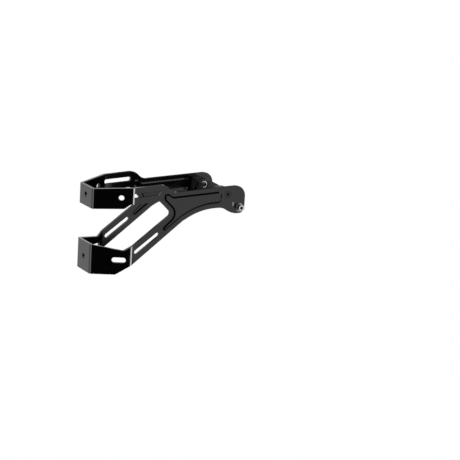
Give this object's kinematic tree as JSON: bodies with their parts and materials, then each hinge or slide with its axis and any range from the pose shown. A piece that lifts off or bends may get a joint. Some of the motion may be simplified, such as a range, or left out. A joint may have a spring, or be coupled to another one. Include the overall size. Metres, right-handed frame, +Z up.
{
  "type": "saddle bottle cage mount",
  "caption": "Folded black sheet bracket that side jaws clamp on a saddle's rails, with slotted strips, arms and wrap-round bands that carry bottle cages behind the saddle.",
  "frame": {"origin": "midway between the two saddle rail axes, at the middle of the jaws", "axes": "+X towards the front of the bicycle along the rails, +Y to the rider's left, +Z up"},
  "size_m": [0.1663, 0.0796, 0.0918],
  "materials": {
    "black_sheet": "black coated, glossy",
    "jaw_metal": "black anodised",
    "bright_steel": "bright",
    "black_steel": "black oxide"
  },
  "bodies": {
    "frame": {"bracket": "black_sheet", "right_outer_jaw": "jaw_metal", "right_clamp_bolt": "bright_steel", "right_clamp_washer": "bright_steel", "right_upper_screw": "black_steel", "left_outer_jaw": "jaw_metal", "left_clamp_bolt": "bright_steel", "left_clamp_washer": "bright_steel", "left_upper_screw": "black_steel"},
    "right_jaw": {"right_inner_jaw": "jaw_metal", "right_lower_nut": "bright_steel", "right_upper_nut": "bright_steel"},
    "left_jaw": {"left_inner_jaw": "jaw_metal", "left_lower_nut": "bright_steel", "left_upper_nut": "bright_steel"}
  },
  "joints": [
    {"name": "right_jaw_slide", "type": "slide", "parent": "frame", "child": "right_jaw", "axis": [0, 1, 0], "range_m": [0, 0.0025]},
    {"name": "left_jaw_slide", "type": "slide", "parent": "frame", "child": "left_jaw", "axis": [0, -1, 0], "range_m": [0, 0.0025]}
  ]
}
